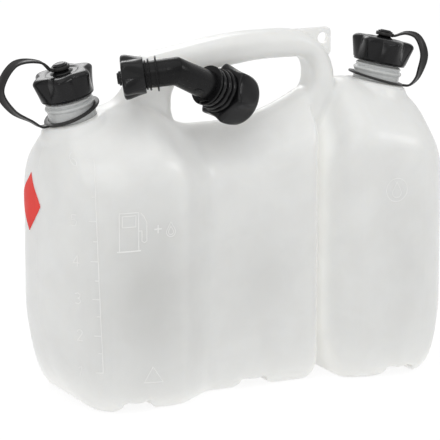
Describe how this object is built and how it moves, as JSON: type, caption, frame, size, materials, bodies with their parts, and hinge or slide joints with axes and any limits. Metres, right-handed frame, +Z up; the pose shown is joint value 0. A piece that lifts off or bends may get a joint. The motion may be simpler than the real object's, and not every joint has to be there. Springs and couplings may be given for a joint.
{
  "type": "combination fuel can",
  "caption": "Combination fuel and oil can: large and small tank under one carrying handle, tethered screw caps, bent pouring spout stowed in the hand opening",
  "frame": {"origin": "middle of the overall length and depth, on the surface the can stands on", "axes": "X along the can from fuel tank to oil tank, Y from front to back, Z up"},
  "size_m": [0.417, 0.148, 0.31],
  "materials": {
    "moulding": "translucent milky satin",
    "cap": "gloss",
    "spout": "gloss",
    "strap": "satin",
    "seal": "matte",
    "label": "satin film"
  },
  "bodies": {
    "can": {"fuel_tank": "moulding", "carry_handle": "moulding", "oil_tank": "moulding", "eyelet_flange": "moulding", "joining_web": "moulding", "side_label": "label"},
    "fuel_strap": {"fuel_strap_ring": "strap", "fuel_strap_band": "strap"},
    "fuel_cap_seat": {"fuel_strap_eye": "strap", "fuel_cap_gasket": "seal"},
    "fuel_closure": {"fuel_cap": "cap"},
    "oil_strap": {"oil_strap_ring": "strap", "oil_strap_band": "strap"},
    "oil_cap_seat": {"oil_strap_eye": "strap", "oil_cap_gasket": "seal"},
    "oil_closure": {"oil_cap": "cap"},
    "spout": {"spout_tube": "spout", "spout_gasket": "seal"},
    "union_nut": {"spout_union_nut": "cap"},
    "tip_seat": {"spout_tip_gasket": "seal"},
    "tip_closure": {"spout_tip_cap": "cap"}
  },
  "joints": [
    {"name": "fuel_strap_swivel", "type": "hinge", "parent": "can", "child": "fuel_strap", "pos_m": [-0.14001, 0, 0.2525], "axis": [-0.2504, 0, 0.9681], "range_deg": [-90, 90]},
    {"name": "fuel_cap_lift", "type": "slide", "parent": "fuel_strap", "child": "fuel_cap_seat", "axis": [-0.2504, 0, 0.9681], "range_m": [0, 0.022], "deforming": ["fuel_strap_band"]},
    {"name": "fuel_cap_turn", "type": "hinge", "parent": "fuel_cap_seat", "child": "fuel_closure", "pos_m": [-0.14502, 0, 0.27186], "axis": [-0.2504, 0, 0.9681], "range_deg": [0, 540]},
    {"name": "oil_strap_swivel", "type": "hinge", "parent": "can", "child": "oil_strap", "pos_m": [0.15549, 0, 0.259], "axis": [0.225, 0, 0.9744], "range_deg": [-90, 90]},
    {"name": "oil_cap_lift", "type": "slide", "parent": "oil_strap", "child": "oil_cap_seat", "axis": [0.225, 0, 0.9744], "range_m": [0, 0.022], "deforming": ["oil_strap_band"]},
    {"name": "oil_cap_turn", "type": "hinge", "parent": "oil_cap_seat", "child": "oil_closure", "pos_m": [0.15999, 0, 0.27849], "axis": [0.225, 0, 0.9744], "range_deg": [0, 540]},
    {"name": "spout_pull_out", "type": "slide", "parent": "can", "child": "spout", "axis": [0, -1, 0], "range_m": [0, 0.12]},
    {"name": "union_nut_turn", "type": "hinge", "parent": "spout", "child": "union_nut", "pos_m": [-0.01285, -0.03344, 0.26447], "axis": [0.8693, 0.2677, -0.4155], "continuous": true},
    {"name": "tip_cap_pull", "type": "slide", "parent": "spout", "child": "tip_seat", "axis": [-0.9051, 0.4061, -0.1257], "range_m": [0, 0.0168]},
    {"name": "tip_cap_turn", "type": "hinge", "parent": "tip_seat", "child": "tip_closure", "pos_m": [-0.10121, -0.03325, 0.28437], "axis": [0.9051, -0.4061, 0.1257], "range_deg": [0, 540]}
  ]
}
